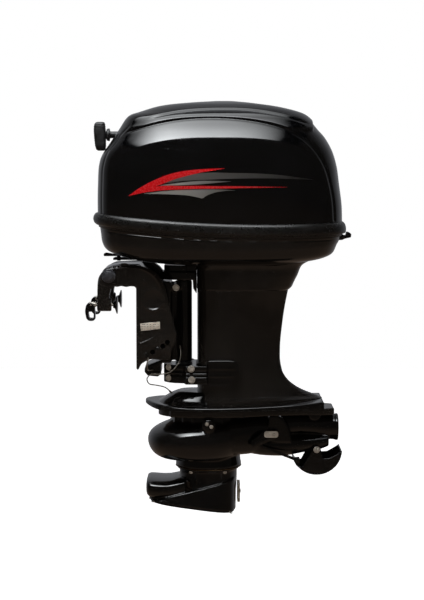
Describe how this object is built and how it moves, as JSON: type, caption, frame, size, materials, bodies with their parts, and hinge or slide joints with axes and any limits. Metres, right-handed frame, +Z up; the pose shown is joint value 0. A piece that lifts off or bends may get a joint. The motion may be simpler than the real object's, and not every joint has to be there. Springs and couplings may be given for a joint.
{
  "type": "outboard motor",
  "caption": "Jet-drive outboard motor: cowled engine on a driveshaft housing with a water-jet pump, hung on a tilting, steering transom clamp bracket.",
  "frame": {"origin": "transom seat on the centreline: X = 0 is the clamp brackets' face against the transom's aft face, Z = 0 the underside of the hooks on the transom's top edge", "axes": "+X aft, away from the boat; +Y starboard; +Z up"},
  "size_m": [0.669, 0.3578, 1.0403],
  "materials": {
    "port_clamp_bracket": "glossy very dark brown-black paint on cast aluminium",
    "starboard_clamp_bracket": "glossy very dark brown-black paint on cast aluminium",
    "tilt_tube": "bare machined aluminium",
    "port_tilt_nut": "bright stainless",
    "starboard_tilt_nut": "bright stainless",
    "lower_tie_bolt": "bright stainless",
    "port_clamp_pad": "bare machined aluminium",
    "port_clamp_screw": "bright stainless",
    "port_clamp_handle": "glossy very dark brown-black paint on cast aluminium",
    "starboard_clamp_pad": "bare machined aluminium",
    "starboard_clamp_screw": "bright stainless",
    "starboard_clamp_handle": "glossy very dark brown-black paint on cast aluminium",
    "trim_pin": "bright stainless",
    "swivel_bracket": "glossy very dark brown-black paint on cast aluminium",
    "swivel_bush": "black moulded plastic",
    "swivel_bond_lead": "dark insulated cord",
    "tilt_lock_lever": "bright stainless",
    "steering_shaft": "bare machined aluminium",
    "steering_arm": "glossy very dark brown-black paint on cast aluminium",
    "lower_mount_yoke": "glossy very dark brown-black paint on cast aluminium",
    "port_mount_cover": "glossy very dark brown-black paint on cast aluminium",
    "starboard_mount_cover": "glossy very dark brown-black paint on cast aluminium",
    "driveshaft_housing": "glossy very dark brown-black paint on cast aluminium",
    "apron": "glossy very dark brown-black paint on cast aluminium",
    "adapter_plate": "glossy very dark brown-black paint on cast aluminium",
    "pump_carrier": "glossy very dark brown-black paint on cast aluminium",
    "volute_housing": "glossy very dark brown-black paint on cast aluminium",
    "impeller_liner": "bright stainless",
    "intake_housing": "glossy very dark brown-black paint on cast aluminium",
    "intake_grille": "bright stainless",
    "anode": "dull sacrificial metal",
    "gate_pivot_bolt": "bright stainless",
    "engine_bond_lead": "dark insulated cord",
    "lower_cowl": "high gloss black",
    "cowl_seal": "satin black",
    "powerhead_adapter": "glossy very dark brown-black paint on cast aluminium",
    "crankcase": "glossy very dark brown-black paint on cast aluminium",
    "cylinder_block": "glossy very dark brown-black paint on cast aluminium",
    "cylinder_head": "glossy very dark brown-black paint on cast aluminium",
    "carburettor": "bare machined aluminium",
    "air_silencer": "black moulded plastic",
    "lower_spark_plug": "off-white",
    "upper_spark_plug": "off-white",
    "recoil_housing": "glossy very dark brown-black paint on cast aluminium",
    "exhaust_tube": "bare machined aluminium",
    "starter_rope": "dark insulated cord",
    "friction_lever": "glossy very dark brown-black paint on cast aluminium",
    "cowl_latch_lever": "glossy very dark brown-black paint on cast aluminium",
    "flywheel": "dark cast iron",
    "crankshaft": "bright stainless",
    "driveshaft": "bright stainless",
    "impeller": "bare machined aluminium",
    "starter_sheave": "black moulded plastic",
    "upper_cowl": "high gloss black",
    "rope_guide": "black moulded plastic",
    "starter_grip": "satin black",
    "rope_tail": "dark insulated cord",
    "reverse_gate": "glossy very dark brown-black paint on cast aluminium",
    "shift_link": "bright stainless",
    "shift_bell_crank": "off-white"
  },
  "bodies": {
    "transom_bracket": {"port_clamp_bracket": "port_clamp_bracket", "starboard_clamp_bracket": "starboard_clamp_bracket", "tilt_tube": "tilt_tube", "port_tilt_nut": "port_tilt_nut", "starboard_tilt_nut": "starboard_tilt_nut", "lower_tie_bolt": "lower_tie_bolt"},
    "port_pad": {"port_clamp_pad": "port_clamp_pad"},
    "port_screw": {"port_clamp_screw": "port_clamp_screw"},
    "port_handle": {"port_clamp_handle": "port_clamp_handle"},
    "starboard_pad": {"starboard_clamp_pad": "starboard_clamp_pad"},
    "starboard_screw": {"starboard_clamp_screw": "starboard_clamp_screw"},
    "starboard_handle": {"starboard_clamp_handle": "starboard_clamp_handle"},
    "trim_pin": {"trim_pin": "trim_pin"},
    "swivel": {"swivel_bracket": "swivel_bracket", "swivel_bush": "swivel_bush", "swivel_bond_lead": "swivel_bond_lead"},
    "tilt_lock": {"tilt_lock_lever": "tilt_lock_lever"},
    "engine_unit": {"steering_shaft": "steering_shaft", "steering_arm": "steering_arm", "lower_mount_yoke": "lower_mount_yoke", "port_mount_cover": "port_mount_cover", "starboard_mount_cover": "starboard_mount_cover", "driveshaft_housing": "driveshaft_housing", "apron": "apron", "adapter_plate": "adapter_plate", "pump_carrier": "pump_carrier", "volute_housing": "volute_housing", "impeller_liner": "impeller_liner", "intake_housing": "intake_housing", "intake_grille": "intake_grille", "anode": "anode", "gate_pivot_bolt": "gate_pivot_bolt", "engine_bond_lead": "engine_bond_lead", "lower_cowl": "lower_cowl", "cowl_seal": "cowl_seal", "powerhead_adapter": "powerhead_adapter", "crankcase": "crankcase", "cylinder_block": "cylinder_block", "cylinder_head": "cylinder_head", "carburettor": "carburettor", "air_silencer": "air_silencer", "lower_spark_plug": "lower_spark_plug", "upper_spark_plug": "upper_spark_plug", "recoil_housing": "recoil_housing", "exhaust_tube": "exhaust_tube", "starter_rope": "starter_rope"},
    "friction_lever": {"friction_lever": "friction_lever"},
    "cowl_latch": {"cowl_latch_lever": "cowl_latch_lever"},
    "rotating_line": {"flywheel": "flywheel", "crankshaft": "crankshaft", "driveshaft": "driveshaft", "impeller": "impeller"},
    "starter_sheave": {"starter_sheave": "starter_sheave"},
    "upper_cowl": {"upper_cowl": "upper_cowl", "rope_guide": "rope_guide"},
    "starter_grip": {"starter_grip": "starter_grip", "rope_tail": "rope_tail"},
    "reverse_gate": {"reverse_gate": "reverse_gate"},
    "shift_link": {"shift_link": "shift_link"},
    "shift_bell_crank": {"shift_bell_crank": "shift_bell_crank"}
  },
  "joints": [
    {"name": "port_pad_travel", "type": "slide", "parent": "transom_bracket", "child": "port_pad", "axis": [1, 0, 0], "range_m": [-0.0038, 0.0027]},
    {"name": "port_screw_turn", "type": "hinge", "parent": "port_pad", "child": "port_screw", "pos_m": [-0.08, -0.088, -0.046], "axis": [1, 0, 0], "range_deg": [-560, 400]},
    {"name": "port_handle_fold", "type": "hinge", "parent": "port_screw", "child": "port_handle", "pos_m": [-0.112, -0.088, -0.046], "axis": [0, 1, 0], "range_deg": [0, 100]},
    {"name": "starboard_pad_travel", "type": "slide", "parent": "transom_bracket", "child": "starboard_pad", "axis": [1, 0, 0], "range_m": [-0.0038, 0.0027]},
    {"name": "starboard_screw_turn", "type": "hinge", "parent": "starboard_pad", "child": "starboard_screw", "pos_m": [-0.08, 0.088, -0.046], "axis": [1, 0, 0], "range_deg": [-560, 400]},
    {"name": "starboard_handle_fold", "type": "hinge", "parent": "starboard_screw", "child": "starboard_handle", "pos_m": [-0.112, 0.088, -0.046], "axis": [0, 1, 0], "range_deg": [0, 100]},
    {"name": "trim_pin_pull", "type": "slide", "parent": "transom_bracket", "child": "trim_pin", "axis": [0, -1, 0], "range_m": [0, 0.235]},
    {"name": "tilt", "type": "hinge", "parent": "transom_bracket", "child": "swivel", "pos_m": [-0.0676, 0, 0.0268], "axis": [0, -1, 0], "range_deg": [0, 62], "deforming": ["swivel_bond_lead"]},
    {"name": "tilt_lock_turn", "type": "hinge", "parent": "swivel", "child": "tilt_lock", "pos_m": [0.01, -0.06, 0.036], "axis": [0, 1, 0], "range_deg": [-25, 0]},
    {"name": "steer", "type": "hinge", "parent": "swivel", "child": "engine_unit", "pos_m": [0.1175, 0, 0], "axis": [0, 0, 1], "range_deg": [-40, 40], "deforming": ["engine_bond_lead"]},
    {"name": "friction_lever_turn", "type": "hinge", "parent": "engine_unit", "child": "friction_lever", "pos_m": [-0.048, 0, 0.07], "axis": [0, 0, 1], "range_deg": [-25, 25]},
    {"name": "cowl_latch_turn", "type": "hinge", "parent": "engine_unit", "child": "cowl_latch", "pos_m": [0.5195, 0, 0.1205], "axis": [0, 1, 0], "range_deg": [0, 50]},
    {"name": "driveline_spin", "type": "hinge", "parent": "engine_unit", "child": "rotating_line", "pos_m": [0.18, 0, 0], "axis": [0, 0, 1], "continuous": true},
    {"name": "sheave_spin", "type": "hinge", "parent": "engine_unit", "child": "starter_sheave", "pos_m": [0.18, 0, 0.377], "axis": [0, 0, 1], "range_deg": [0, 1110]},
    {"name": "cowl_lift", "type": "slide", "parent": "engine_unit", "child": "upper_cowl", "axis": [0, 0, 1], "range_m": [0, 0.3], "deforming": ["starter_rope"]},
    {"name": "starter_pull", "type": "slide", "parent": "upper_cowl", "child": "starter_grip", "axis": [-1, 0, 0], "range_m": [0, 1.2], "stiffness_N_per_m": 8, "deforming": ["rope_tail"]},
    {"name": "gate_swing", "type": "hinge", "parent": "engine_unit", "child": "reverse_gate", "pos_m": [0.4545, 0, -0.4186], "axis": [0, -1, 0], "range_deg": [0, 20]},
    {"name": "link_swing", "type": "hinge", "parent": "reverse_gate", "child": "shift_link", "pos_m": [0.405, -0.066, -0.443], "axis": [0, -1, 0], "range_deg": [-20, 0]},
    {"name": "bell_crank_swing", "type": "hinge", "parent": "engine_unit", "child": "shift_bell_crank", "pos_m": [0.345, -0.072, -0.376], "axis": [0, -1, 0], "range_deg": [0, 20]}
  ],
  "couplings": [
    {"joint": "port_screw_turn", "follows": "port_pad_travel", "rad_per_m": 2513.3},
    {"joint": "starboard_screw_turn", "follows": "starboard_pad_travel", "rad_per_m": 2513.3},
    {"joint": "sheave_spin", "follows": "starter_pull", "rad_per_m": 16.08},
    {"joint": "link_swing", "follows": "gate_swing", "ratio": -1},
    {"joint": "bell_crank_swing", "follows": "gate_swing", "ratio": 1}
  ]
}
